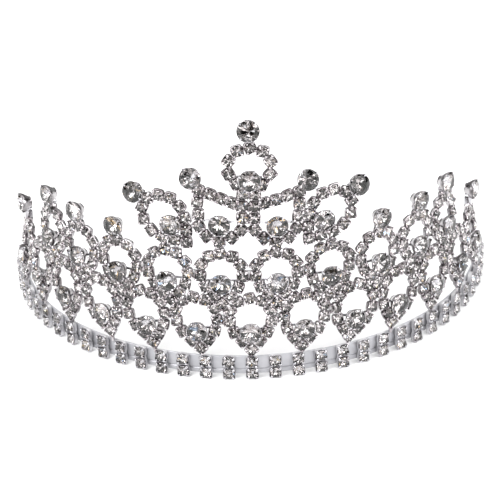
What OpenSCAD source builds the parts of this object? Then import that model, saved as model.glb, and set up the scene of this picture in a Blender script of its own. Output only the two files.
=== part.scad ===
// Bridal tiara: a silver-plated band that carries three tiers of rhinestone cup chain.
// The wall of the tiara stands upright on a circular arc and opens to the back.
// Front faces -Y, +X is to the right in a front view, +Z is up.
// A place on the wall is given as [s, h]: the distance along the arc from the front centre
// and the height above the surface that the tiara stands on.

/* [Wall] */
// Radius of the surface that the chain's flat backs lie on
back_r = 62.2; // [58:0.2:75]
// Depth from that surface to the one on which distances along the wall are counted
face_depth = 2; // [1:0.1:2.5]
// Inward tilt of the wall above the band at the last loops
end_tilt = 9; // [0:1:10]
// Distance along the wall from which it starts to tilt
tilt_from = 24; // [20:1:40]

/* [Band] */
// Height of the band strip
band_h = 4.9; // [3:0.1:6]
// Height of the band's lower edge
band_z = 0.7; // [0.5:0.1:1.5]
// Thickness of the band strip
band_t = 0.6; // [0.4:0.1:1.2]
// Angle that each half of the band covers
band_angle = 92; // [88:1:100]
// Depth of the rolled line along the band's face
band_line_d = 0.12; // [0.05:0.01:0.2]
// Width of the rolled line along the band's face
band_line_w = 0.35; // [0.2:0.05:0.6]

/* [Hair-pin eyelets] */
// Thickness of each eyelet plate
eyelet_t = 0.8; // [0.6:0.1:1.2]
// Radius of the eyelet's hole
eyelet_hole_r = 1.1; // [0.8:0.1:1.4]
// Outer radius of the eyelet's round end
eyelet_r = 2.3; // [2:0.1:3]
// Length of the eyelet's lap behind the band
eyelet_lap = 4; // [3:0.5:6]

/* [Small cup chain] */
// Radius of a small cup at its rim
cup_r = 1.42; // [1.3:0.01:1.43]
// Radius of a small cup at its base
cup_base_r = 0.95; // [0.7:0.05:1.1]
// Height of a small cup
cup_h = 1.55; // [1.2:0.05:2]
// Radius of a small stone at its girdle
stone_r = 1.24; // [1:0.04:1.28]
// Width of the links between the cups
link_w = 0.8; // [0.5:0.05:1]
// Thickness of the links between the cups
link_t = 0.4; // [0.3:0.05:0.6]

/* [Large settings] */
// Radius of a large cup at its rim
big_cup_r = 2.68; // [2.5:0.02:2.7]
// Radius of a large cup at its base
big_cup_base_r = 1.3; // [1:0.05:1.8]
// Height of a large cup's base above the chain's back
big_lift = 0.4; // [0.2:0.05:0.8]
// Height of a large cup
big_cup_h = 2.3; // [2:0.05:2.8]
// Radius of a large stone at its girdle
big_stone_r = 2.38; // [2.2:0.02:2.4]

/* [Bars on the band] */
// Number of bars on each side of the centre bar
bars_each_side = 16; // [12:1:16]
// Distance from bar to bar along the wall
bar_pitch = 5.8; // [5:0.1:7]
// Height of a bar's lower stone
bar_low_h = 1.5; // [1.45:0.05:1.7]
// Height of a bar's upper stone
bar_high_h = 4.8; // [4.6:0.05:5]

/* [Loops] */
// Distance from loop to loop along the wall
loop_pitch = 13.4; // [13:0.1:15]
// Radius of a loop's round top
loop_r = 5.2; // [4.6:0.05:5.4]
// Angle between a loop's axis and its straight sides at the tip
loop_tip_angle = 42; // [36:1:48]
// Number of stones in a loop
loop_stones = 12; // [11:1:12]
// Height of the lower loops' tips
low_tip_h = 8.3; // [8:0.1:9]
// Height of a lower loop from its tip stone to its top stone
low_loop_h = 14.2; // [13.2:0.1:15]
// Height of the middle loops' tips
mid_tip_h = 21.1; // [20.8:0.1:22]
// Height of a middle loop from its tip stone to its top stone
mid_loop_h = 13.6; // [13:0.1:15]
// Number of lower loops on each side of the centre loop
low_each_side = 6; // [6:1:6]
// Number of middle loops on each side
mid_each_side = 5; // [5:1:5]

/* [Crest] */
// Height of the centre hoop's middle
hoop_h = 56.9; // [55:0.1:58]
// Radius of the centre hoop
hoop_r = 5.15; // [4.8:0.05:5.4]
// Height of the topmost finial
apex_h = 65.9; // [65.5:0.1:68]
// Lean of the two outer hoops away from the centre
outer_lean = 42; // [35:1:45]
// Lean of the hand-set hoop and corner chains to the right
crest_lean = 3; // [0:0.5:3]
// Backward tilt of the crest's finials
finial_tilt = 12; // [0:1:15]

/* [Hidden] */
$fn = 32;
overlap = 0.02;
stone_gap = 0.02;
claw_r = 0.12;
claw_rise = 0.5;
seat_slope = 0.85;
culet_r = 0.1;
table_ratio = 0.58;
crown_ratio = 0.27;
girdle_t = 0.12;
bead_r = 0.62;
bead_z = 0.9;
bar_plate_w = 2.4;
bar_plate_t = 0.35;
bar_plate_top = 6.3;
foot_h = 5.4;
mid_finial_stand = 4.3;
low_finial_stand = 5.9;
apex_shift = -0.5;
eyelet_neck_w = 3.7;
eyelet_merge = 0.4;

// Height of each tier's large setting above its loop's tip, and half the length of its cross strip
low_setting_v = 5.3;
low_strip = 3.1;
mid_setting_v = 5.9;
mid_strip = 3.6;
outer_strip = 4.2;
corner_strip = 3.9;
hoop_strip = 3;

// Share of the way from one stone to the next that a finial's and a corner chain's link covers
finial_link = 0.75;
corner_link = 0.45;

// Lean of each loop away from the centre, counted outwards from the centre of its tier
low_leans = [0, 6, 12, 17, 11, 9, 4];
mid_leans = [0, 5, 2, 2, 0];

// Places on the right half of the crest, as [s, h]
column_s = 1.47;
columns = [[1.5, 50.1], [column_s, 47.0], [column_s, 43.95]];
corner = [12.0, 50.6];
corner_chain = [[3.9, 47.85], [6.6, 48.75], [9.3, 49.7], corner, [12.15, 47.5], [11.95, 44.35],
    [11.8, 41.2], [9.9, 38.75], [6.85, 37.45], [3.8, 38.7], [1.6, 40.95]];
corner_setting = [6.8, 42.4];
corner_finial = [13.8, 53.3];
hoop_setting_h = 54.2;
outer_tip = [14.7, 37.3];
outer_setting = [-0.6, 6];
outer_finial = [27.3, 49.1];
crest_root = [0, 38];

// Stones, counted along their chains, at which the crest's chains touch each other or stand
corner_foot = 8;
corner_end = 10;
corner_flank = 5;
outer_flank = 10;
outer_foot = 2;

big_top_z = big_lift + big_cup_h;
big_table_z = big_top_z + girdle_t + big_stone_r * crown_ratio;
front_reach = back_r + big_table_z;
wall_r = back_r + face_depth;
eyelet_s = wall_r * band_angle * PI / 180 - eyelet_lap / 2;
eyelet_x = eyelet_lap / 2 + eyelet_r - eyelet_merge;
back_reach = (eyelet_x + eyelet_r) * sin(wall_angle(eyelet_s))
    - (back_r - band_t - eyelet_t) * cos(wall_angle(eyelet_s));
arc_centre_y = (front_reach - back_reach) / 2;
hoop_stones = 4;
hoop_step = 36;

LOW_NODES = ["lower_loop_01", "lower_loop_02", "lower_loop_03", "lower_loop_04", "lower_loop_05",
    "lower_loop_06", "lower_loop_07", "lower_loop_08", "lower_loop_09", "lower_loop_10",
    "lower_loop_11", "lower_loop_12", "lower_loop_13"];
MID_NODES = ["middle_loop_01", "middle_loop_02", "middle_loop_03", "middle_loop_04",
    "middle_loop_05", "middle_loop_06", "middle_loop_07", "middle_loop_08", "middle_loop_09",
    "middle_loop_10"];

// Direction of the wall at distance s along it, and its inward tilt above the band at place p
// in steps of a tenth of a degree
function wall_angle(s) = s / wall_r * 180 / PI;
function tilt_share(p) = max(0, (abs(p[0]) - tilt_from) / (low_axis(low_each_side) - tilt_from));
function wall_tilt(p) = p[1] > foot_h ? round(10 * end_tilt * pow(tilt_share(p), 1.2)) / 10 : 0;

// ---- geometry of a loop -------------------------------------------------------------------
// A loop runs from its tip up a straight side, round a wide flank and over a half circle.

function flank_r(h) = ((h - loop_r) * sin(loop_tip_angle) - loop_r * cos(loop_tip_angle))
    / (1 - cos(loop_tip_angle));
function side_l(h) = (loop_r - flank_r(h) * (1 - cos(loop_tip_angle))) / sin(loop_tip_angle);
function flank_l(h) = flank_r(h) * loop_tip_angle * PI / 180;
function half_l(h) = side_l(h) + flank_l(h) + loop_r * PI / 2;

// Point of a loop of height h at distance t from its tip, as [across, up]
function loop_side(h, t) =
    t < side_l(h) ? [t * sin(loop_tip_angle), t * cos(loop_tip_angle)]
    : t < side_l(h) + flank_l(h)
    ? let (a = loop_tip_angle - (t - side_l(h)) / flank_r(h) * 180 / PI)
        [loop_r - flank_r(h) * (1 - cos(a)), h - loop_r - flank_r(h) * sin(a)]
    : let (a = (t - side_l(h) - flank_l(h)) / loop_r * 180 / PI)
        [loop_r * cos(a), h - loop_r + loop_r * sin(a)];
function loop_point(h, t) = t <= half_l(h)
    ? loop_side(h, t)
    : let (p = loop_side(h, 2 * half_l(h) - t)) [-p[0], p[1]];
function loop_points(h) = [for (i = [0 : loop_stones - 1])
    loop_point(h, i * 2 * half_l(h) / loop_stones)];

// A point p turned clockwise by the angle a about the point c
function lean(p, c, a) = let (d = p - c)
    c + [d[0] * cos(a) + d[1] * sin(a), d[1] * cos(a) - d[0] * sin(a)];
function lean_all(points, c, a) = [for (p = points) lean(p, c, a)];
function mirror_s(points) = [for (p = points) [-p[0], p[1]]];
function side_of(k) = k < 0 ? -1 : 1;

// Places of the stones of loop k of the lower tier, k counted from the centre
function low_axis(k) = k * loop_pitch;
function low_lean(k) = side_of(k) * low_leans[abs(k)];
function low_place(k, p) = let (c = [low_axis(k), low_tip_h + low_loop_h - loop_r])
    lean([low_axis(k) + p[0], low_tip_h + p[1]], c, low_lean(k));
function low_points(k) = [for (p = loop_points(low_loop_h)) low_place(k, p)];

// Places of the stones of loop k of the middle tier: k = -5 .. -1 on the left, 1 .. 5 on the right
function mid_axis(k) = (k - side_of(k) / 2) * loop_pitch;
function mid_lean(k) = side_of(k) * mid_leans[abs(k) - 1];
function mid_place(k, p) = let (c = [mid_axis(k), mid_tip_h + mid_loop_h - loop_r])
    lean([mid_axis(k) + p[0], mid_tip_h + p[1]], c, mid_lean(k));
function mid_top(k) = mid_place(k, [0, mid_loop_h]);
function mid_points(k) = [for (p = loop_points(mid_loop_h)) mid_place(k, p)];
MID_K = [for (i = [1 : mid_each_side]) each [-i, i]];

// Places of the stones of the upright crest's right half, and the lean of its hoop and corner chains
hoop_top = [0, hoop_h + hoop_r];
function hoop_half() = concat(
    [for (i = [1 : hoop_stones]) [hoop_r * sin(i * hoop_step), hoop_h + hoop_r * cos(i * hoop_step)]],
    columns);
function outer_place(p) = lean(outer_tip + p, outer_tip, outer_lean);
function outer_points() = [for (p = loop_points(low_loop_h)) outer_place(p)];
function on_side(points, side) = side > 0 ? points : mirror_s(points);
function crest(points, side = 1) = lean_all(on_side(points, side), crest_root, crest_lean);
function both_sides(points) = concat(crest(points), crest(points, -1));
function with_mirror(points) = concat(points, mirror_s(points));

LOW_SETTINGS = [for (k = [-low_each_side : low_each_side]) low_place(k, [0, low_setting_v])];
MID_SETTINGS = [for (k = MID_K) mid_place(k, [0, mid_setting_v])];
CREST_SETTINGS = concat(crest([[0, hoop_setting_h]]), both_sides([corner_setting]),
    with_mirror([outer_place(outer_setting)]));
CREST_FINIALS = concat(crest([[apex_shift, apex_h]]), both_sides([corner_finial]),
    with_mirror([outer_finial]));
LOOP_FINIALS = concat(
    [for (k = MID_K) if (abs(k) > 2) mid_place(k, [0, mid_loop_h + mid_finial_stand])],
    [for (k = [-low_each_side, low_each_side]) low_place(k, [0, low_loop_h + low_finial_stand])]);
FINIALS = concat(CREST_FINIALS, LOOP_FINIALS);

// Stones that the finials stand on, in the order of FINIALS
FINIAL_FEET = concat(crest([hoop_top]), both_sides([corner]),
    with_mirror([outer_place([0, low_loop_h])]),
    [for (k = MID_K) if (abs(k) > 2) mid_place(k, [0, mid_loop_h])],
    [for (k = [-low_each_side, low_each_side]) low_place(k, [0, low_loop_h])]);

// ---- building blocks ----------------------------------------------------------------------

// Sets the children on the wall at place p, their +Z pointing out of the wall
module on_wall(p, spin = 0, out = 0) {
    translate([0, arc_centre_y, foot_h])
        rotate([0, 0, wall_angle(p[0])])
            translate([0, -back_r, 0])
                rotate([-wall_tilt(p), 0, 0])
                    translate([0, -out, p[1] - foot_h])
                        rotate([90, 0, 0])
                            rotate([0, 0, spin])
                                children();
}

// Cup with a cone-shaped seat for a stone's lower half
module cup(base_r, rim_r, h, seat_r) {
    rotate_extrude()
        polygon([[0, 0], [base_r, 0], [rim_r, h], [seat_r + stone_gap, h],
            [culet_r + stone_gap, h - (seat_r - culet_r) * seat_slope],
            [0, h - (seat_r - culet_r) * seat_slope]]);
}

// The four claws of a large cup, standing on its rim
module claws() {
    for (a = [45 : 90 : 315])
        rotate([0, 0, a])
            translate([(big_cup_r + big_stone_r + stone_gap) / 2, 0, 0])
                cylinder(h = claw_rise, r = claw_r, $fn = 16);
}

// Round-cut stone, its pavilion filling the seat of a cup whose rim is at height z
module stone(r, z) {
    rotate_extrude()
        polygon([[0, z + stone_gap - (r - culet_r) * seat_slope],
            [culet_r, z + stone_gap - (r - culet_r) * seat_slope],
            [r, z + stone_gap], [r, z + girdle_t],
            [r * table_ratio, z + girdle_t + r * crown_ratio], [0, z + girdle_t + r * crown_ratio]]);
}

// Flat link on the wall from place p to place q
module link(p, q, out = 0) {
    d = q - p;
    on_wall((p + q) / 2, spin = atan2(d[1], d[0]), out = out)
        translate([-norm(d) / 2, -link_w / 2, 0])
            cube([norm(d), link_w, link_t]);
}

// Small cups at the given places, joined by links into one chain
module chain(points, closed) {
    n = len(points);
    for (p = points)
        on_wall(p) cup(cup_base_r, cup_r, cup_h, stone_r);
    for (i = [0 : n - (closed ? 1 : 2)])
        link(points[i], points[(i + 1) % n]);
}

module chain_stones(points) {
    for (p = points)
        on_wall(p) stone(stone_r, cup_h);
}

// Large cup on its post
module big_cup() {
    cylinder(h = big_lift + overlap, r = big_cup_base_r);
    translate([0, 0, big_lift])
        cup(big_cup_base_r, big_cup_r, big_cup_h, big_stone_r);
    translate([0, 0, big_top_z])
        claws();
}

module setting_stones(points) {
    for (p = points)
        on_wall(p) stone(big_stone_r, big_top_z);
}

// Large cup at place c on a strip that crosses its loop and leans with it by the angle a
module loop_setting(c, a, reach) {
    d = [reach * cos(a), -reach * sin(a)];
    on_wall(c) big_cup();
    link(c - d, c + d);
}

// Sets the children at the head of finial i, which stands on its foot. The crest's finials tilt
// backwards and those of the loops stand upright.
module on_finial(i) {
    foot = FINIAL_FEET[i];
    d = FINIALS[i] - foot;
    on_wall(foot)
        rotate([i < len(CREST_FINIALS) ? -finial_tilt : wall_tilt(foot), 0, 0])
            rotate([0, 0, atan2(d[1], d[0]) - 90])
                translate([0, norm(d), 0])
                    children();
}

// ---- sub-parts ----------------------------------------------------------------------------

module base_band() {
    color("silver")
        translate([0, arc_centre_y, 0])
            rotate([0, 0, -90 - band_angle])
                rotate_extrude(angle = 2 * band_angle, $fn = 96)
                    difference() {
                        translate([back_r - band_t, band_z])
                            square([band_t, band_h]);
                        translate([back_r - band_line_d, band_z + band_h / 4])
                            square([band_t, band_line_w]);
                    }
}

module eyelet(side) {
    color("gainsboro")
        on_wall([side * eyelet_s, band_z + band_h / 2], out = -band_t - eyelet_t)
            difference() {
                union() {
                    translate([-eyelet_lap / 2, -eyelet_neck_w / 2, 0])
                        cube([eyelet_lap, eyelet_neck_w, eyelet_t]);
                    translate([side * eyelet_x, 0, 0])
                        cylinder(h = eyelet_t, r = eyelet_r);
                }
                translate([side * eyelet_x, 0, -eyelet_t])
                    cylinder(h = 3 * eyelet_t, r = eyelet_hole_r);
            }
}

module bar_chains() {
    color("silver")
        for (n = [-bars_each_side : bars_each_side]) {
            s = n * bar_pitch;
            on_wall([s, 0])
                translate([-bar_plate_w / 2, 0, 0])
                    cube([bar_plate_w, bar_plate_top, bar_plate_t]);
            for (h = [bar_low_h, bar_high_h])
                on_wall([s, h]) cup(cup_base_r, cup_r, cup_h, stone_r);
        }
}

module bar_crystals() {
    color("lightcyan")
        for (n = [-bars_each_side : bars_each_side])
            chain_stones([[n * bar_pitch, bar_low_h], [n * bar_pitch, bar_high_h]]);
}

// Loop k of the lower tier, with a foot that reaches down onto the band
module lower_loop(k) {
    tip = low_place(k, [0, 0]);
    color("silver") {
        chain(low_points(k), closed = true);
        link([tip[0], foot_h], tip);
    }
}

module lower_loop_crystals() {
    color("lightcyan")
        for (k = [-low_each_side : low_each_side])
            chain_stones(low_points(k));
}

module lower_settings() {
    color("gainsboro")
        for (k = [-low_each_side : low_each_side])
            loop_setting(LOW_SETTINGS[k + low_each_side], low_lean(k), low_strip);
}

module lower_crystals() {
    color("azure") setting_stones(LOW_SETTINGS);
}

module middle_loop(k) {
    color("silver") chain(mid_points(k), closed = true);
}

module middle_loop_crystals() {
    color("lightcyan")
        for (k = MID_K)
            chain_stones(mid_points(k));
}

module middle_settings() {
    color("gainsboro")
        for (i = [0 : len(MID_K) - 1])
            loop_setting(MID_SETTINGS[i], mid_lean(MID_K[i]), mid_strip);
}

module middle_crystals() {
    color("azure") setting_stones(MID_SETTINGS);
}

// Centre hoop, whose two ends run down side by side as a stem
module centre_hoop() {
    right = crest(hoop_half());
    left = crest(hoop_half(), -1);
    top = crest([hoop_top])[0];
    color("silver") {
        chain(concat([top], right), closed = false);
        chain(left, closed = false);
        link(top, left[0]);
        for (i = [hoop_stones : len(left) - 1])
            link(right[i], left[i]);
    }
}

module corner_chain(side) {
    points = crest(corner_chain, side);
    stem = crest([columns[1]], side)[0];
    color("silver") {
        chain(points, closed = false);
        link(points[0], points[0] + (stem - points[0]) * corner_link);
    }
}

module outer_hoop(side) {
    color("silver") chain(on_side(outer_points(), side), closed = true);
}

module crest_chain_crystals() {
    color("lightcyan") {
        chain_stones(crest([hoop_top]));
        chain_stones(both_sides(concat(hoop_half(), corner_chain)));
        chain_stones(with_mirror(outer_points()));
    }
}

module crest_settings() {
    color("gainsboro") {
        loop_setting(CREST_SETTINGS[0], crest_lean, hoop_strip);
        for (i = [1, 2])
            loop_setting(CREST_SETTINGS[i], crest_lean, corner_strip);
        loop_setting(CREST_SETTINGS[3], outer_lean, outer_strip);
        loop_setting(CREST_SETTINGS[4], -outer_lean, outer_strip);
    }
}

module crest_crystals() {
    color("azure") setting_stones(CREST_SETTINGS);
}

module finial_settings() {
    color("gainsboro")
        for (i = [0 : len(FINIALS) - 1])
            on_finial(i) {
                big_cup();
                translate([-link_w / 2, -finial_link * norm(FINIALS[i] - FINIAL_FEET[i]), 0])
                    cube([link_w, finial_link * norm(FINIALS[i] - FINIAL_FEET[i]), link_t]);
            }
}

module finial_crystals() {
    color("azure")
        for (i = [0 : len(FINIALS) - 1])
            on_finial(i) stone(big_stone_r, big_top_z);
}

// Flat wires behind the chains, on which the crest stands on the middle loops
module crest_feet() {
    color("silver")
        for (side = [-1, 1]) {
            link(mid_top(side), crest(corner_chain, side)[corner_foot], out = -link_t);
            link(mid_top(2 * side), on_side(outer_points(), side)[outer_foot], out = -link_t);
        }
}

// Solder beads where neighbouring chains touch
module solder_beads() {
    low_c = low_tip_h + low_loop_h - loop_r;
    mid_c = mid_tip_h + mid_loop_h - loop_r;
    low_joints = [for (k = [-low_each_side : low_each_side - 1]) [(k + 0.5) * loop_pitch, low_c]];
    mid_joints = [for (k = [1 - mid_each_side : mid_each_side - 1]) [k * loop_pitch, mid_c]];
    stem_joints = both_sides([(corner_chain[corner_end] + columns[len(columns) - 1]) / 2]);
    flank_joints = [for (side = [-1, 1]) (crest(corner_chain, side)[corner_flank]
        + on_side(outer_points(), side)[outer_flank]) / 2];
    color("silver")
        for (p = concat(low_joints, mid_joints, stem_joints, flank_joints))
            on_wall(p, out = bead_z) sphere(r = bead_r);
}

base_band();
eyelet(-1);  // eyelet_left
eyelet(1);  // eyelet_right
bar_chains();
bar_crystals();
for (i = [0 : 2 * low_each_side])
    lower_loop(i - low_each_side);
lower_loop_crystals();
lower_settings();
lower_crystals();
for (i = [0 : 2 * mid_each_side - 1])
    middle_loop(i < mid_each_side ? i - mid_each_side : i - mid_each_side + 1);
middle_loop_crystals();
middle_settings();
middle_crystals();
centre_hoop();
corner_chain(-1);  // corner_chain_left
corner_chain(1);  // corner_chain_right
outer_hoop(-1);  // outer_hoop_left
outer_hoop(1);  // outer_hoop_right
crest_chain_crystals();
crest_settings();
crest_crystals();
finial_settings();
finial_crystals();
crest_feet();
solder_beads();
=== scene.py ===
"""Looks of a bridal tiara: cup chains, large settings and foil-backed crystals on a polished metal band.

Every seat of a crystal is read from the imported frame. Detailed cups, claws and cut stones are built there.
"""

import math
import random

import bmesh
import bpy
import numpy as np
from mathutils import Matrix, Vector


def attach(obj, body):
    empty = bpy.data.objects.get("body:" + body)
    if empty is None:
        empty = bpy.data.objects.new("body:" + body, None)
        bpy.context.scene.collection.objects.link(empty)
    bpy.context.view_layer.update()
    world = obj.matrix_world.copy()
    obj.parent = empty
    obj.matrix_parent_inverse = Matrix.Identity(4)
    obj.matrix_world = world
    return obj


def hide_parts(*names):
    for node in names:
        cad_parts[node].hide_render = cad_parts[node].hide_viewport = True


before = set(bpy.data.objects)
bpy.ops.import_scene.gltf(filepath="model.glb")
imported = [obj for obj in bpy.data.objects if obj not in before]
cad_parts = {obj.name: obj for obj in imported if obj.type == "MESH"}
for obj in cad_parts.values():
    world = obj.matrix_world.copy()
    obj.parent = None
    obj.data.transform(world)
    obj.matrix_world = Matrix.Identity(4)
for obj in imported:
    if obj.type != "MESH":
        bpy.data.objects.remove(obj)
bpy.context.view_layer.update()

chance = random.Random(11)

MM = 0.001
ROOT = "root"

# ---- camera ---------------------------------------------------------------------------------
VIEW_TARGET = Vector((0.1, 5.4, 15.1)) * MM
VIEW_DISTANCE = 450 * MM
VIEW_ELEVATION = math.radians(27.58)
VIEW_AZIMUTH = math.radians(0.52)
VIEW_ROLL = math.radians(-1.99)
VIEW_LENS = 123.7

# ---- cup chain and settings, in millimetres -------------------------------------------------
WELD = 0.001            # points nearer than this are one point
CUP_STONE_R = 1.2       # stone that small_cup is drawn for
BIG_CUP_STONE_R = 2.25  # stone that large_cup is drawn for
CUP_TURN = 24           # sides of a small cup
BIG_CUP_TURN = 40       # sides of a large cup
LINK_W = 0.8            # links between small cups
LINK_T = 0.36
LINK_REACH = 2.85       # stones nearer than this many radii are linked
FOOT_REACH = 0.02       # a loop's foot is its points within this of its lowest one
STRIP_W = 0.6           # strips behind large cups
STRIP_T = 0.4
POST_CLEAR = 1.36       # points further than this from a large cup's axis belong to its strip
STRIP_FRONT = 0.5       # and so do only points less than this in front of the cup's back
NECK_W = 1.9            # necks between finials and their loops
NECK_T = 1.9
NECK_START = 1.5        # how far from each end a neck stops
NECK_LIFT = 0.13        # how far a neck lies in front of its stalk's back
FINIAL_LINK = 0.75      # share of a finial's whole stalk that reaches the loop's edge
PLATE_W = 2.4           # back plates of the bars
PLATE_T = 0.35
PLATE_CORNER = 0.5
CUP_TILT = math.radians(4.5)   # chance lean, shift and twist of small cups
CUP_SHIFT = 0.05
CUP_TWIST = 0.06
BIG_TILT = math.radians(3)     # and of large ones
BIG_SHIFT = 0.04
BIG_TWIST = 0.3
BAR_GROWTH = 1.05       # the bars' cups and stones are this much larger than the other small ones

# ---- band, in millimetres -------------------------------------------------------------------
BAND_TURNS = 260        # steps along its arc
BAND_SOFT = 0.12        # its edges are rounded by this much
BAND_LINE = 0.28        # height of the rolled line, as a share of the band's
GROOVE_DEPTH = 0.24     # how deep the rolled line is
TAB_SOFT = 0.14         # edges of the eyelet tabs

# ---- stones ---------------------------------------------------------------------------------
SMALL_GROWTH, LARGE_GROWTH = 1.02, 1.05          # next to the CAD girdles
SMALL_UNEVEN, LARGE_UNEVEN = 0.05, 0.075         # how far pavilion corners stray, in girdle radii
# Shares of facets with painted dark reflections, among a pavilion's main facets and among its lower ones
SMALL_PAINTED_DARK, LARGE_PAINTED_DARK, BAR_PAINTED_DARK = (0.44, 0.44), (0.3, 0.5), (0.31, 0.31)
# Painted light and shade of the foil: values of painted dark reflections, the dimmest painted highlight, the
# tints of painted highlights and painted shade, and painted coloured flashes of fire with how often they
# come
PAINTED_DARK_VALUES = [0.01, 0.04, 0.12, 0.3]
DIMMEST_PAINTED_HIGHLIGHT = 0.6
PAINTED_HIGHLIGHT_TINT, PAINTED_DARK_TINT = (1.0, 0.965, 0.965), (1.0, 0.9, 0.86)
PAINTED_FIRE_TINTS = [(1.0, 0.78, 0.5), (0.62, 0.78, 1.0), (1.0, 0.9, 0.7)]
PAINTED_FIRE_SHARE = 0.045

# ---- studio ---------------------------------------------------------------------------------
GLOSS_LIGHT = 2.9       # strength of the panels that gloss sees
PLAIN_LIGHT = 1.2       # strength of the white that the camera and the floor see
FLOOR_REACH = 4.0       # half of the floor's side, in metres


# ---- reading the frame ----------------------------------------------------------------------

def node_points(name):
    """A CAD node's points in millimetres."""
    return np.array([v.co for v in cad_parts[name].data.vertices]) / MM


def islands(name):
    """The separate solids of a CAD node, as arrays of their points in millimetres."""
    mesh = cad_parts[name].data
    keys, index = np.unique(np.round(node_points(name) / WELD).astype(int), axis=0, return_inverse=True)
    index = index.reshape(-1)
    root = list(range(len(keys)))

    def find(i):
        while root[i] != i:
            root[i] = root[root[i]]
            i = root[i]
        return i

    for polygon in mesh.polygons:
        first = find(index[polygon.vertices[0]])
        for v in polygon.vertices[1:]:
            root[find(index[v])] = first
    groups = {}
    for i in range(len(keys)):
        groups.setdefault(find(i), []).append(i)
    found = [keys[g] * WELD for g in groups.values()]
    return sorted(found, key=lambda points: tuple(np.round(points.mean(0), 1)))


def unit(v):
    return v / np.linalg.norm(v)


class Seat:
    """Where a stone sits: the middle of its girdle, the direction it faces, and one direction across."""

    def __init__(self, points):
        # The girdle's points are the ones furthest from the stone's middle
        away = np.linalg.norm(points - points.mean(0), axis=1)
        ring = points[away > 0.9 * away.max()]
        self.centre = ring.mean(0)
        self.axis = np.linalg.svd(ring - self.centre)[2][2]
        if self.axis @ (self.centre * [1, 1, 0]) < 0:
            self.axis = -self.axis
        self.radius = np.linalg.norm(ring - self.centre, axis=1).mean()
        self.across = unit(np.cross([0, 0, 1], self.axis))
        self.links = []

    def turn(self, angle=0.0):
        """Rotation whose Z faces out and whose X lies across, turned by angle about Z."""
        x = unit(self.across - (self.across @ self.axis) * self.axis)
        y = np.cross(self.axis, x)
        c, s = math.cos(angle), math.sin(angle)
        return np.column_stack([c * x + s * y, c * y - s * x, self.axis])

    def jitter(self, tilt, shift):
        """A small chance tilt and shift, as hand-set cups have."""
        way = chance.uniform(0, 2 * math.pi)
        lean = max(-tilt, min(tilt, chance.gauss(0, tilt / 2)))
        facing = self.turn()
        self.axis = unit(self.axis + math.tan(lean) * (facing @ [math.cos(way), math.sin(way), 0]))
        move = [chance.uniform(-shift, shift), chance.uniform(-shift, shift), 0]
        self.centre = self.centre + facing @ move


def seats_of(name):
    return [Seat(points) for points in islands(name)]


def depth_of(seat, points):
    """How far the back plane of a cup lies behind its stone's girdle."""
    d = points - seat.centre
    along = d @ seat.axis
    aside = np.linalg.norm(d - np.outer(along, seat.axis), axis=1)
    return -along[aside < seat.radius].min()


# ---- templates: points, faces, material index of each face, smooth or not --------------------

class Template:
    def __init__(self):
        self.points, self.faces, self.parts, self.smooth = [], [], [], []

    def add(self, points, faces):
        start = len(self.points)
        self.points += [tuple(p) for p in points]
        self.faces += [tuple(start + i for i in f) for f in faces]
        self.parts += [0] * len(faces)
        self.smooth += [True] * len(faces)
        return self


def squareness(angle, power):
    """How far a rounded square reaches at an angle, next to a circle. A power of 2 is the circle."""
    return (abs(math.cos(angle)) ** power + abs(math.sin(angle)) ** power) ** (-1 / power)


def lathe(profile, turn, waves=0, power=2.0):
    """Turned form from (radius, height, wave) rows. The wave lifts a row at its corners.

    The outline is a circle, or a rounded square with a power above 2.
    """
    points, faces, rows = [], [], []
    for r, z, wave in profile:
        if r == 0:
            rows.append([len(points)] * turn)
            points.append((0, 0, z))
            continue
        rows.append(list(range(len(points), len(points) + turn)))
        for i in range(turn):
            a = 2 * math.pi * i / turn
            reach = r * squareness(a, power)
            points.append((reach * math.cos(a), reach * math.sin(a), z - wave * math.cos(waves * a)))
    for low, high in zip(rows, rows[1:]):
        for i in range(turn):
            j = (i + 1) % turn
            corners = []
            for c in (low[i], low[j], high[j], high[i]):
                if c not in corners:
                    corners.append(c)
            faces.append(tuple(corners))
    return points, faces


def tube_faces(rings, size):
    """Faces of a closed tube made of rings of points, each of the same size, with a cap at both ends."""
    faces = []
    for i in range(rings - 1):
        for k in range(size):
            p, q = i * size + k, i * size + (k + 1) % size
            faces.append((p, q, q + size, p + size))
    last = (rings - 1) * size
    return faces + [tuple(range(size - 1, -1, -1)), tuple(range(last, last + size))]


def claw(path, half_widths, thickness, angle):
    """A claw bent along (radius, height) points, standing at an angle round the cup."""
    points = []
    side = (-1, -0.72, 0.72, 1, 0.72, -0.72)
    lift = (0, 0.5, 0.5, 0, -0.5, -0.5)
    for i, (r, z) in enumerate(path):
        before, after = path[max(i - 1, 0)], path[min(i + 1, len(path) - 1)]
        run = math.hypot(after[0] - before[0], after[1] - before[1])
        normal = ((after[1] - before[1]) / run, -(after[0] - before[0]) / run)
        for s, l in zip(side, lift):
            rr, zz = r + normal[0] * l * thickness, z + normal[1] * l * thickness
            t = s * half_widths[i]
            points.append((rr * math.cos(angle) - t * math.sin(angle),
                           rr * math.sin(angle) + t * math.cos(angle), zz))
    return points, tube_faces(len(path), len(side))


# Material slot of the cup walls and bar plates: a copy of the plating with painted shade, and on the bars
# with painted light
PAINTED_WALL = 1


def walled_cup(profile, turn, wall_rows, **shape):
    """A turned cup whose first rows, its outer wall, take the piece's second metal: a darker copy of the
    plating as painted shade, but on the bars a lighter copy as painted light.
    """
    out = Template()
    out.add(*lathe(profile, turn, **shape))
    out.parts[:wall_rows * turn] = [PAINTED_WALL] * (wall_rows * turn)
    return out


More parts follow.
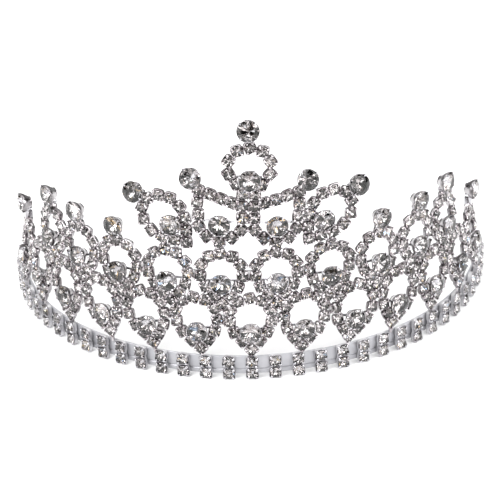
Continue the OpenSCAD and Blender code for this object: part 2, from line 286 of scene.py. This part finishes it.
def small_cup(depth):
    """Stamped cup of a cup chain: rounded-square walls, a scalloped rim and four claws bent over the stone.

    It holds a stone of radius CUP_STONE_R, and its base lies depth behind the girdle.
    """
    out = walled_cup([(0, -depth, 0), (1.1, -depth, 0), (1.3, 0.06 - depth, 0), (1.38, 0.25 - depth, 0),
                      (1.42, 0.5 - depth, 0), (1.45, -0.7, 0), (1.47, -0.3, 0.08), (1.47, -0.12, 0.15),
                      (1.4, -0.02, 0.17), (1.31, -0.06, 0.15), (1.25, -0.3, 0.06), (0.9, -0.62, 0),
                      (0, -1.15, 0)], CUP_TURN, 6, waves=4, power=4.6)
    path = [(1.6, -0.5), (1.68, -0.15), (1.66, 0.1), (1.52, 0.26), (1.32, 0.35), (1.12, 0.33), (1.02, 0.27)]
    widths = [0.3, 0.3, 0.27, 0.25, 0.23, 0.2, 0.12]
    for k in range(4):
        out.add(*claw(path, widths, 0.13, math.pi / 4 + k * math.pi / 2))
    return out


def large_cup(depth):
    """Deep round cup on a post, with a thin rim and four fine claws.

    It holds a stone of radius BIG_CUP_STONE_R, and its base lies depth behind the girdle.
    """
    out = walled_cup([(0, -depth, 0), (1.12, -depth, 0), (1.27, 0.08 - depth, 0), (1.29, 0.32 - depth, 0),
                      (1.36, 0.44 - depth, 0), (1.6, 0.8 - depth, 0), (1.92, 1.32 - depth, 0),
                      (2.2, -0.98, 0), (2.41, -0.55, 0), (2.52, -0.2, 0), (2.55, -0.02, 0), (2.53, 0.07, 0),
                      (2.48, 0.1, 0), (2.42, 0.08, 0), (2.38, -0.06, 0), (1.5, -0.9, 0), (0, -2.0, 0)],
                     BIG_CUP_TURN, 12)
    path = [(2.46, -0.5), (2.56, -0.15), (2.6, 0.08), (2.52, 0.24), (2.36, 0.32), (2.18, 0.32), (2.08, 0.27)]
    widths = [0.24, 0.24, 0.22, 0.2, 0.18, 0.15, 0.09]
    for k in range(4):
        out.add(*claw(path, widths, 0.15, math.pi / 4 + k * math.pi / 2))
    return out


GLASS, FOIL = 0, 1


def brilliant(girdle, crown, pavilion, table=0.58, star=0.8, lower=0.32):
    """A cut stone of girdle radius 1.

    Its crown has a table, 8 star, 8 kite and 16 upper facets. Its pavilion has 8 main and 16 lower ones.
    """
    step = math.pi / 8
    half = math.cos(step)

    def ring(r, z, count, offset):
        angles = [(2 * k + offset) * step * 8 / count for k in range(count)]
        return [(r * math.cos(a), r * math.sin(a), z) for a in angles]

    star_z = girdle + crown * (1 - star * half) / (1 - table)
    lower_z = -girdle - (pavilion - girdle) * (1 - lower * half)
    points = (ring(1, girdle, 16, 0) + ring(1, -girdle, 16, 0) + ring(table, girdle + crown, 8, 0)
              + ring(star, star_z, 8, 1) + ring(lower, lower_z, 8, 1) + [(0, 0, -pavilion)])
    # Where each ring starts: the girdle's top and low edges, the table, the stars, the mains, the tip
    top, low, tab, sta, pav, culet = 0, 16, 32, 40, 48, 56
    crown_faces = [tuple(tab + k for k in range(8))]
    foil_faces = []
    for k in range(8):
        n, b, h = (k + 1) % 8, (k - 1) % 8, 2 * k
        crown_faces += [(tab + k, sta + k, tab + n), (tab + k, sta + b, top + h, sta + k),
                        (sta + k, top + h, top + h + 1), (sta + k, top + h + 1, top + 2 * n)]
        foil_faces += [(low + h, pav + b, culet, pav + k), (pav + k, low + h, low + h + 1),
                       (pav + k, low + h + 1, low + 2 * n)]
    crown_faces += [(top + i, low + i, low + (i + 1) % 16, top + (i + 1) % 16) for i in range(16)]
    middle = np.array([0, 0, -0.2])

    def outward(face):
        corners = np.array([points[i] for i in face])
        normal = np.cross(corners[1] - corners[0], corners[2] - corners[0])
        return face if normal @ (corners.mean(0) - middle) > 0 else face[::-1]

    out = Template()
    out.points = points
    for faces, part in ((crown_faces, GLASS), (foil_faces, FOIL)):
        out.faces += [outward(f) for f in faces]
        out.parts += [part] * len(faces)
    out.smooth = [False] * len(out.faces)
    return out


IDENTITY, ORIGIN = np.eye(3), np.zeros(3)


class Assembly:
    """Copies of templates that become one piece."""

    def __init__(self):
        self.points, self.faces, self.parts, self.smooth, self.painted_light_and_shade = [], [], [], [], []
        self.count = 0

    def put(self, template, turn=IDENTITY, centre=ORIGIN, scale=1.0, painted_light_and_shade=None):
        points = np.array(template.points, float) * scale @ turn.T + centre
        self.faces += [tuple(self.count + i for i in f) for f in template.faces]
        self.points.append(points)
        self.count += len(points)
        self.parts += template.parts
        self.smooth += template.smooth
        self.painted_light_and_shade += painted_light_and_shade or [(1.0, 1.0, 1.0)] * len(template.faces)

    def piece(self, name, materials, nodes, with_painted_light=False):
        mesh = bpy.data.meshes.new(name)
        mesh.from_pydata((np.vstack(self.points) * MM).tolist(), [], self.faces)
        mesh.polygons.foreach_set("material_index", self.parts)
        mesh.polygons.foreach_set("use_smooth", self.smooth)
        for m in materials:
            mesh.materials.append(m)
        if with_painted_light:
            # Each face's painted light and shade, which the foil reads as its colour
            colours = mesh.color_attributes.new("facet", "FLOAT_COLOR", "CORNER")
            values = [(*shade, 1.0) for f, shade in zip(self.faces, self.painted_light_and_shade) for _ in f]
            colours.data.foreach_set("color", np.array(values, np.float32).reshape(-1))
        mesh.update()
        mesh.validate()
        if any(self.smooth):
            mesh.set_sharp_from_angle(angle=math.radians(42))
        finished(bpy.data.objects.new(name, mesh), nodes)


def finished(obj, nodes):
    bpy.context.scene.collection.objects.link(obj)
    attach(obj, ROOT)
    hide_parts(*nodes)


def bar(a, b, out, width, thickness, round_end=0.25):
    """Flat bar with rounded edges and ends from a to b. Its back lies on the line, its front faces out."""
    run = unit(b - a)
    side = unit(np.cross(out, run))
    length = np.linalg.norm(b - a)
    # Corners as (share of the half width, share of the thickness), then (place, width) along an end
    section = [(-1, 0.15), (-0.86, 0), (0.86, 0), (1, 0.15), (1, 0.75), (0.8, 1), (-0.8, 1), (-1, 0.75)]
    stations = [(0, 0.55), (0.3, 0.85), (1, 1)]
    along = [(t * round_end * width, w) for t, w in stations]
    along += [(length - t * round_end * width, w) for t, w in reversed(stations)]
    points = [a + run * t + side * (s * w * width / 2) + out * (h * thickness)
              for t, w in along for s, h in section]
    return Template().add(points, tube_faces(len(along), len(section)))


def plate(foot, turn, high):
    """Back plate of a bar: a rounded rectangle with soft edges, from its foot to a height along turn's Y."""

    def outline(inset):
        shape = []
        r = PLATE_CORNER - inset
        for cx, cy, start in ((1, 1, 0), (-1, 1, 90), (-1, -1, 180), (1, -1, 270)):
            for k in range(5):
                a = math.radians(start + k * 22.5)
                shape.append((cx * (PLATE_W / 2 - PLATE_CORNER) + r * math.cos(a),
                              high / 2 + cy * (high / 2 - PLATE_CORNER) + r * math.sin(a)))
        return shape

    points = []
    layers = [(0.08, 0), (0, 0.08), (0, PLATE_T - 0.1), (0.1, PLATE_T)]
    for inset, z in layers:
        points += [foot + turn @ [x, y, z] for x, y in outline(inset)]
    return Template().add(points, tube_faces(len(layers), len(outline(0))))


# ---- materials ------------------------------------------------------------------------------

def material(name):
    m = bpy.data.materials.new(name)
    m.use_nodes = True
    tree = m.node_tree
    return m, tree, tree.nodes["Principled BSDF"]


def node(tree, kind, inputs=(), **settings):
    """A new shader node, its settings, and what feeds its inputs: (input, value or socket) pairs."""
    made = tree.nodes.new(kind)
    for key, value in settings.items():
        setattr(made, key, value)
    for key, value in inputs:
        if isinstance(value, bpy.types.NodeSocket):
            tree.links.new(value, made.inputs[key])
        else:
            made.inputs[key].default_value = value
    return made


def noise(tree, per_mm, detail=3.0):
    """Noise whose features are about 1 / per_mm millimetres across."""
    place = node(tree, "ShaderNodeTexCoord")
    return node(tree, "ShaderNodeTexNoise", [("Vector", place.outputs["Object"]),
                                             ("Scale", per_mm / MM), ("Detail", detail)]).outputs["Fac"]


def ramp(tree, value, stops):
    """Colour from a value, through (place, colour or grey) stops."""
    made = node(tree, "ShaderNodeValToRGB", [("Fac", value)])
    elements = made.color_ramp.elements
    while len(elements) < len(stops):
        elements.new(0.5)
    for element, (place, colour) in zip(elements, stops):
        element.position = place
        element.color = (*colour, 1.0) if hasattr(colour, "__len__") else (colour, colour, colour, 1.0)
    return made.outputs["Color"]


def spread(tree, value, low, high):
    """Noise stretched to run from low to high."""
    return node(tree, "ShaderNodeMapRange", [("Value", value), ("From Min", 0.3), ("From Max", 0.7),
                                             ("To Min", low), ("To Max", high)]).outputs["Result"]


def mix_colours(tree, a, b, how):
    made = node(tree, "ShaderNodeMix", data_type="RGBA", blend_type=how)
    made.inputs["Factor"].default_value = 1.0
    tree.links.new(a, made.inputs[6])
    tree.links.new(b, made.inputs[7])
    return made.outputs[2]


def polished_metal(name, light, dark, rough, bump, patch=0.35, grain=2.5, metallic=1.0):
    """Plated metal: patches of slightly duller plating, fine scratches and a soft hammered relief."""
    m, tree, shader = material(name)
    shader.inputs["Metallic"].default_value = metallic
    colour = ramp(tree, noise(tree, patch), [(0.35, dark), (0.62, light)])
    tree.links.new(colour, shader.inputs["Base Color"])
    tree.links.new(spread(tree, noise(tree, patch * 2), *rough), shader.inputs["Roughness"])
    relief = node(tree, "ShaderNodeBump", [("Height", noise(tree, grain, 5.0)), ("Strength", bump),
                                           ("Distance", 0.05 * MM)])
    tree.links.new(relief.outputs["Normal"], shader.inputs["Normal"])
    return m


def crown_glass(name):
    """Lead glass of a stone's crown, with the faint haze of handling."""
    m, tree, shader = material(name)
    shader.inputs["Base Color"].default_value = (0.985, 0.98, 0.975, 1)
    shader.inputs["Transmission Weight"].default_value = 1.0
    shader.inputs["IOR"].default_value = 1.56
    tree.links.new(spread(tree, noise(tree, 0.8), 0.0, 0.03), shader.inputs["Roughness"])
    return m


def foil(name, rough):
    """Mirror foil behind the pavilion. Each facet's colour carries painted light and shade from the facet
    attribute: painted highlights, painted dark reflections and a few painted coloured flashes. The foil is
    also a little uneven.
    """
    m, tree, shader = material(name)
    shader.inputs["Metallic"].default_value = 1.0
    # The facet attribute holds each facet's painted light and shade
    shade = node(tree, "ShaderNodeAttribute", attribute_name="facet").outputs["Color"]
    cloud = ramp(tree, noise(tree, 1.1), [(0.3, 0.72), (0.6, 1.0)])
    tree.links.new(mix_colours(tree, shade, cloud, "MULTIPLY"), shader.inputs["Base Color"])
    tree.links.new(spread(tree, noise(tree, 0.9), *rough), shader.inputs["Roughness"])
    return m


silver = polished_metal(
    "chain_silver", (0.68, 0.65, 0.665), (0.24, 0.21, 0.22), (0.06, 0.2), 0.3)
setting_silver = polished_metal(
    "setting_silver", (0.62, 0.615, 0.64), (0.34, 0.325, 0.34), (0.07, 0.18), 0.15)
# A darker, rougher copy of the plating on the cups' outer walls: painted shade
wall_painted_shade = polished_metal(
    "cup_wall_painted_shade", (0.46, 0.445, 0.455), (0.17, 0.155, 0.16), (0.14, 0.3), 0.3)
# A lighter, less metallic copy of the plating on the bars' cup walls and back plates: painted light that
# hides their shade
bar_painted_light = polished_metal(
    "bar_wall_painted_light_silver", (0.72, 0.715, 0.73), (0.55, 0.54, 0.555), (0.3, 0.42), 0.2, metallic=0.7)
band_silver = polished_metal(
    "band_satin", (0.5, 0.5, 0.525), (0.41, 0.41, 0.435), (0.36, 0.48), 0.1, patch=0.12, metallic=0.6)
solder_silver = polished_metal(
    "solder_tin", (0.55, 0.54, 0.55), (0.4, 0.39, 0.4), (0.2, 0.4), 0.6, grain=1.4)
glass = crown_glass("crystal_crown")
# The foils' colour carries painted highlights, painted dark reflections and painted coloured flashes, facet
# by facet
small_foil = foil("small_crystal_foil_painted_light", (0.03, 0.12))
large_foil = foil("large_crystal_foil_painted_light", (0.02, 0.08))

# ---- the seats of all stones ----------------------------------------------------------------

loops = sorted(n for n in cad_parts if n.startswith("lower_loop_") and n[-2:].isdigit())
middle_loops = sorted(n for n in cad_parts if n.startswith("middle_loop_") and n[-2:].isdigit())
CHAINS = {
    "bar_crystals": ["bar_chains"],
    "lower_loop_crystals": loops,
    "middle_loop_crystals": middle_loops,
    "crest_chain_crystals": ["centre_hoop", "corner_chain_left", "corner_chain_right", "outer_hoop_left",
                             "outer_hoop_right"],
}
SETTINGS = {"lower_crystals": "lower_settings", "middle_crystals": "middle_settings",
            "crest_crystals": "crest_settings", "finial_crystals": "finial_settings"}

chain_points = {n: node_points(n) for names in CHAINS.values() for n in names}
chain_seats = {n: [] for n in chain_points}
stone_seats = {}
for stones, names in CHAINS.items():
    stone_seats[stones] = seats_of(stones)
    for seat in stone_seats[stones]:
        nearest = min(names, key=lambda n: np.linalg.norm(chain_points[n] - seat.centre, axis=1).min())
        chain_seats[nearest].append(seat)

bar_seats = stone_seats["bar_crystals"]
small_depth = depth_of(bar_seats[0], chain_points["bar_chains"])

# The arc's centre is the point that the bars' stones look away from
normals = np.array([unit(s.axis[:2]) for s in bar_seats])
pull = np.eye(2) * len(normals) - normals.T @ normals
arc_centre = np.linalg.solve(pull, sum((np.eye(2) - np.outer(n, n)) @ s.centre[:2]
                                       for n, s in zip(normals, bar_seats)))

for seats in chain_seats.values():
    for seat in seats:
        near = sorted((np.linalg.norm(other.centre - seat.centre), i)
                      for i, other in enumerate(seats) if other is not seat)
        seat.links = [seats[i] for d, i in near if d < LINK_REACH * seat.radius]
        if seat.links:
            seat.across = unit(seat.links[0].centre - seat.centre)

# ---- chains ---------------------------------------------------------------------------------

small_scale = bar_seats[0].radius / CUP_STONE_R
small_cup_form = small_cup(small_depth / small_scale)
for name, seats in chain_seats.items():
    chain = Assembly()
    cup_scale = small_scale * (BAR_GROWTH if name == "bar_chains" else 1)
    backs = [s.centre - s.axis * small_depth for s in seats]
    outs = [s.axis for s in seats]
    for i, seat in enumerate(seats):
        for other in seat.links:
            j = seats.index(other)
            if j > i:
                chain.put(bar(backs[i], backs[j], unit(outs[i] + outs[j]), LINK_W, LINK_T))
    if name == "bar_chains":
        for i, seat in enumerate(seats):
            if seat.links and seat.centre[2] < seat.links[0].centre[2]:
                upright = np.column_stack([np.cross([0, 0, 1], seat.axis), [0, 0, 1], seat.axis])
                back = plate(backs[i] * [1, 1, 0], upright, chain_points[name][:, 2].max())
                # The back plates take the bars' lighter copy of the plating: painted light
                back.parts = [PAINTED_WALL] * len(back.parts)
                chain.put(back)
    for seat in seats:
        seat.jitter(CUP_TILT, CUP_SHIFT)
        chain.put(small_cup_form, seat.turn(chance.gauss(0, CUP_TWIST)), seat.centre, cup_scale)
    if name in loops:
        # The link from the loop's lowest cup down to the band
        points = chain_points[name]
        foot = points[points[:, 2] < points[:, 2].min() + FOOT_REACH]
        lowest = min(seats, key=lambda s: s.centre[2])
        tip = lowest.centre - lowest.axis * small_depth
        heel = foot.mean(0)
        heel = heel - lowest.axis * ((heel - tip) @ lowest.axis)
        chain.put(bar(heel, tip, lowest.axis, LINK_W, LINK_T))
    # The second metal is painted: painted shade on the cup walls, and on the bars painted light on cup walls
    # and back plates
    metals = [setting_silver, bar_painted_light] if name == "bar_chains" else [silver, wall_painted_shade]
    chain.piece(name + "_cups", metals, [name])

# ---- large settings -------------------------------------------------------------------------

for stones, settings in SETTINGS.items():
    stone_seats[stones] = seats_of(stones)
    bodies = islands(settings)
    on_stalks = settings == "finial_settings"
    group = Assembly()
    for seat in stone_seats[stones]:
        body = min(bodies, key=lambda p: np.linalg.norm(p - seat.centre, axis=1).min())
        depth = depth_of(seat, body)
        rel = body - seat.centre
        along = rel @ seat.axis
        flat = rel - np.outer(along, seat.axis)
        strip = flat[(along < STRIP_FRONT - depth) & (np.linalg.norm(flat, axis=1) > POST_CLEAR)]
        # A stalk runs from the cup's axis, and a strip runs through its own middle
        run = np.linalg.svd(strip if on_stalks else strip - strip.mean(0))[2][0]
        ends = strip @ run
        back = seat.centre - seat.axis * depth
        if on_stalks:
            far = max(ends.min(), ends.max(), key=abs)
            a, b = back, back + run * far
            down = run * math.copysign(1, far)
            neck_end = abs(far) / FINIAL_LINK - NECK_START
            line = back + seat.axis * NECK_LIFT
            group.put(bar(line + down * NECK_START, line + down * neck_end, seat.axis, NECK_W, NECK_T))
        else:
            a, b = back + run * ends.min(), back + run * ends.max()
        group.put(bar(a, b, seat.axis, STRIP_W, STRIP_T))
        seat.jitter(BIG_TILT, BIG_SHIFT)
        scale = seat.radius / BIG_CUP_STONE_R
        twist = chance.uniform(-BIG_TWIST, BIG_TWIST)
        group.put(large_cup(depth / scale), seat.turn(twist), seat.centre, scale)
    # The large cups' outer walls take the darker copy of the plating: painted shade
    group.piece(settings + "_cups", [setting_silver, wall_painted_shade], [settings])

# ---- stones ---------------------------------------------------------------------------------

def painted_facet_light(template, painted_dark_shares):
    """Painted light and shade in the foil's colour for each facet of one stone: mostly painted highlights,
    some painted grey, some painted nearly black reflections, now and then a painted coloured flash.

    The first share of painted dark ones is that of the main facets, the second that of the lower facets. One
    main facet and two lower ones follow each other in turn.
    """
    painted_light_and_shade = []
    start = template.parts.index(FOIL)
    for i, part in enumerate(template.parts):
        value = chance.uniform(DIMMEST_PAINTED_HIGHLIGHT, 1.0)
        tint = PAINTED_HIGHLIGHT_TINT
        # Painted dark reflection on some of the foil's facets
        if part == FOIL and chance.random() < painted_dark_shares[(i - start) % 3 > 0]:
            value = chance.choice(PAINTED_DARK_VALUES)
            tint = PAINTED_DARK_TINT
        # Now and then a painted coloured flash of fire
        if chance.random() < PAINTED_FIRE_SHARE:
            tint = chance.choice(PAINTED_FIRE_TINTS)
        painted_light_and_shade.append(tuple(value * t for t in tint))
    return painted_light_and_shade


def uneven(form, amount):
    """The same stone with its pavilion's corners moved a little, so that its facets throw light apart."""
    first_low = min(i for f, part in zip(form.faces, form.parts) if part == FOIL for i in f)
    points = np.array(form.points)
    inner = [i for i in range(first_low, len(points)) if points[i][2] < points[first_low][2] - 0.05]
    for i in inner:
        points[i] += [chance.uniform(-amount, amount) for _ in range(3)]
    out = Template()
    out.points, out.faces, out.parts, out.smooth = points, form.faces, form.parts, form.smooth
    return out


small_stone = brilliant(0.05, 0.27, 0.82)
large_stone = brilliant(0.027, 0.27, 0.83)
for stones, seats in stone_seats.items():
    if stones in SETTINGS:
        form, growth, stray, dark, slot, back = (
            large_stone, LARGE_GROWTH, LARGE_UNEVEN, LARGE_PAINTED_DARK, "large_crystal", large_foil)
    else:
        form, growth, stray, dark, slot, back = (
            small_stone, SMALL_GROWTH, SMALL_UNEVEN, SMALL_PAINTED_DARK, "small_crystal", small_foil)
    if stones == "bar_crystals":
        growth, dark = SMALL_GROWTH * BAR_GROWTH, BAR_PAINTED_DARK
    group = Assembly()
    for seat in seats:
        # Each stone gets its own painted light and shade on the foil
        group.put(uneven(form, stray), seat.turn(chance.uniform(0, math.pi)), seat.centre,
                  seat.radius * growth, painted_facet_light(form, dark))
    group.piece(stones + "_cut", [glass, back], [stones], with_painted_light=True)

# ---- band, eyelets, feet and solder ---------------------------------------------------------

def band_piece():
    """The band's strip, swept along its arc: soft edges and a rolled line near the bottom."""
    points = node_points("base_band")
    flat = points[:, :2] - arc_centre
    radii = np.linalg.norm(flat, axis=1)
    inner, outer = radii.min(), radii.max()
    low, high = points[:, 2].min(), points[:, 2].max()
    sweep = np.arctan2(flat[:, 0], -flat[:, 1])
    height, soft, groove = high - low, BAND_SOFT, outer - GROOVE_DEPTH
    line = low + height * BAND_LINE
    profile = [(inner, low + soft), (inner + soft, low), (outer - soft, low), (outer, low + soft),
               (outer, line - 0.28), (outer - 0.08, line - 0.2), (groove, line - 0.08),
               (groove, line + 0.08), (outer - 0.08, line + 0.2), (outer, line + 0.28),
               (outer, line + height * 0.35), (outer, high - soft), (outer - soft * 0.5, high - soft * 0.2),
               (outer - soft, high), (inner + soft, high), (inner, high - soft)]
    rows = []
    for a in np.linspace(sweep.min(), sweep.max(), BAND_TURNS + 1):
        rows += [(arc_centre[0] + r * math.sin(a), arc_centre[1] - r * math.cos(a), z) for r, z in profile]
    n = len(profile)
    last = BAND_TURNS * n
    faces = [(i * n + k, (i + 1) * n + k, (i + 1) * n + (k + 1) % n, i * n + (k + 1) % n)
             for i in range(BAND_TURNS) for k in range(n)]
    faces += [tuple(range(n)), tuple(range(last + n - 1, last - 1, -1))]
    strip = Assembly()
    strip.put(Template().add(rows, faces))
    strip.piece("base_band_strip", [band_silver], ["base_band"])


def eyelet_piece(name):
    """An eyelet tab: the CAD node's own shape with rounded edges."""
    piece_name = name + "_tab"
    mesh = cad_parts[name].data.copy()
    mesh.name = piece_name
    shape = bmesh.new()
    shape.from_mesh(mesh)
    bmesh.ops.remove_doubles(shape, verts=shape.verts, dist=WELD * MM)
    bmesh.ops.dissolve_limit(shape, angle_limit=math.radians(1), verts=shape.verts, edges=shape.edges)
    sharp = [e for e in shape.edges
             if len(e.link_faces) == 2 and e.calc_face_angle() > math.radians(40)]
    bmesh.ops.bevel(shape, geom=sharp, offset=TAB_SOFT * MM, segments=3, profile=0.5, affect="EDGES")
    shape.to_mesh(mesh)
    shape.free()
    mesh.materials.clear()
    mesh.materials.append(band_silver)
    mesh.polygons.foreach_set("use_smooth", [True] * len(mesh.polygons))
    mesh.set_sharp_from_angle(angle=math.radians(35))
    finished(bpy.data.objects.new(piece_name, mesh), [name])


def feet_piece():
    """The flat wires that carry the crest, each with rounded edges."""
    wires = Assembly()
    for points in islands("crest_feet"):
        middle = points.mean(0)
        spans = np.linalg.svd(points - middle)[2]
        reach = (points - middle) @ spans[0]
        out = spans[2] * math.copysign(1, spans[2] @ (middle * [1, 1, 0]))
        back = middle - out * LINK_T / 2
        wires.put(bar(back + spans[0] * reach.min(), back + spans[0] * reach.max(), out, LINK_W, LINK_T))
    wires.piece("crest_feet_wires", [silver], ["crest_feet"])


def solder_piece():
    """Solder blobs: lumpy, a little flattened, each one different."""
    ball = bmesh.new()
    bmesh.ops.create_icosphere(ball, subdivisions=3, radius=1.0)
    points = np.array([v.co for v in ball.verts])
    faces = [tuple(v.index for v in f.verts) for f in ball.faces]
    ball.free()
    blobs = Assembly()
    for island in islands("solder_beads"):
        lump = points.copy()
        for _ in range(5):
            way = unit(np.array([chance.gauss(0, 1) for _ in range(3)]))
            lump *= (1 + chance.uniform(-0.12, 0.05) * np.clip(points @ way, 0, 1) ** 2)[:, None]
        template = Template().add(lump, faces)
        radius = (island.max(0) - island.min(0)).max() / 2
        blobs.put(template, IDENTITY, (island.max(0) + island.min(0)) / 2, radius)
    blobs.piece("solder_blobs", [solder_silver], ["solder_beads"])


band_piece()
eyelet_piece("eyelet_left")
eyelet_piece("eyelet_right")
feet_piece()
solder_piece()

# ---- floor, light and camera ----------------------------------------------------------------

def floor():
    m, tree, shader = material("floor_white")
    shade = ramp(tree, noise(tree, 0.004), [(0.3, 0.9), (0.7, 0.91)])
    tree.links.new(shade, shader.inputs["Base Color"])
    shader.inputs["Roughness"].default_value = 0.9
    shader.inputs["Specular IOR Level"].default_value = 0.1
    mesh = bpy.data.meshes.new("floor")
    corners = [(x * FLOOR_REACH, y * FLOOR_REACH, 0) for x, y in ((-1, -1), (1, -1), (1, 1), (-1, 1))]
    mesh.from_pydata(corners, [], [(0, 1, 2, 3)])
    mesh.materials.append(m)
    made = bpy.data.objects.new("floor", mesh)
    bpy.context.scene.collection.objects.link(made)


def studio():
    """White surroundings for the eye and the floor. Gloss sees soft boxes with dark gaps between them."""
    world = bpy.data.worlds.new("studio")
    bpy.context.scene.world = world
    world.use_nodes = True
    tree = world.node_tree
    tree.nodes.clear()
    place = node(tree, "ShaderNodeTexCoord").outputs["Generated"]
    axes = node(tree, "ShaderNodeSeparateXYZ", [("Vector", place)]).outputs
    front = node(tree, "ShaderNodeMath", [(0, axes["Y"]), (1, -1.0)], operation="MULTIPLY").outputs[0]
    bearing = node(tree, "ShaderNodeMath", [(0, axes["X"]), (1, front)], operation="ARCTAN2").outputs[0]
    share = node(tree, "ShaderNodeMapRange", [("Value", bearing), ("From Min", -math.pi),
                                              ("From Max", math.pi)]).outputs["Result"]
    height = node(tree, "ShaderNodeMapRange", [("Value", axes["Z"]), ("From Min", -1.0)]).outputs["Result"]
    # Bright and dark panels on both sides, from straight in front of the object to straight behind it
    half_sides = [(0.0, 0.02), (0.02, 0.02), (0.03, 1.0), (0.07, 1.0), (0.08, 0.02), (0.105, 0.02),
                  (0.115, 0.5), (0.135, 0.5), (0.145, 0.02), (0.17, 0.02), (0.18, 1.0), (0.27, 1.0),
                  (0.28, 0.03), (0.34, 0.03), (0.36, 0.16), (0.5, 0.2)]
    left = node(tree, "ShaderNodeMath", [(0, share), (1, 0.5)], operation="SUBTRACT").outputs[0]
    away = node(tree, "ShaderNodeMath", [(0, left)], operation="ABSOLUTE").outputs[0]
    sides = ramp(tree, away, half_sides)
    tiers = ramp(tree, height, [(0.0, 0.3), (0.5, 0.3), (0.53, 0.15), (0.56, 1.0), (0.72, 1.0), (0.74, 0.0)])
    top = ramp(tree, height, [(0.0, 0.0), (0.8, 0.0), (0.82, 0.9), (0.9, 0.9), (0.91, 0.03), (0.95, 0.03),
                              (0.96, 1.0)])
    both = mix_colours(tree, mix_colours(tree, sides, tiers, "MULTIPLY"), top, "LIGHTEN")
    gloss = node(tree, "ShaderNodeBackground", [("Color", both), ("Strength", GLOSS_LIGHT)])
    plain = node(tree, "ShaderNodeBackground", [("Color", (1, 1, 1, 1)), ("Strength", PLAIN_LIGHT)])
    path = node(tree, "ShaderNodeLightPath").outputs
    seen = node(tree, "ShaderNodeMath", [(0, path["Is Camera Ray"]), (1, path["Is Diffuse Ray"])],
                operation="MAXIMUM").outputs[0]
    mixed = node(tree, "ShaderNodeMixShader", [("Fac", seen), (1, gloss.outputs[0]), (2, plain.outputs[0])])
    out = node(tree, "ShaderNodeOutputWorld")
    tree.links.new(mixed.outputs[0], out.inputs["Surface"])


def soft_light(name, place, size, power):
    data = bpy.data.lights.new(name, "AREA")
    data.size = size
    data.energy = power
    made = bpy.data.objects.new(name, data)
    bpy.context.scene.collection.objects.link(made)
    made.location = place
    made.rotation_euler = (VIEW_TARGET - made.location).to_track_quat("-Z", "Y").to_euler()


def camera():
    """The camera looks at VIEW_TARGET, turned a little about its own line of sight."""
    ahead = Vector((math.cos(VIEW_ELEVATION) * math.sin(-VIEW_AZIMUTH),
                    math.cos(VIEW_ELEVATION) * math.cos(VIEW_AZIMUTH), -math.sin(VIEW_ELEVATION)))
    right = ahead.cross(Vector((0, 0, 1))).normalized()
    up = right.cross(ahead)
    c, s = math.cos(VIEW_ROLL), math.sin(VIEW_ROLL)
    across, upright = c * right + s * up, c * up - s * right
    data = bpy.data.cameras.new("camera")
    data.lens = VIEW_LENS
    data.clip_start = 0.01
    made = bpy.data.objects.new("camera", data)
    bpy.context.scene.collection.objects.link(made)
    made.matrix_world = Matrix((
        (across.x, upright.x, -ahead.x, 0), (across.y, upright.y, -ahead.y, 0),
        (across.z, upright.z, -ahead.z, 0), (0, 0, 0, 1)))
    made.location = VIEW_TARGET - ahead * VIEW_DISTANCE
    bpy.context.scene.camera = made


floor()
studio()
soft_light("key", (-0.5, -0.5, 0.9), 0.35, 6)
soft_light("fill", (0.7, -0.3, 0.6), 0.3, 3)
camera()
bpy.context.scene.view_settings.view_transform = "Standard"
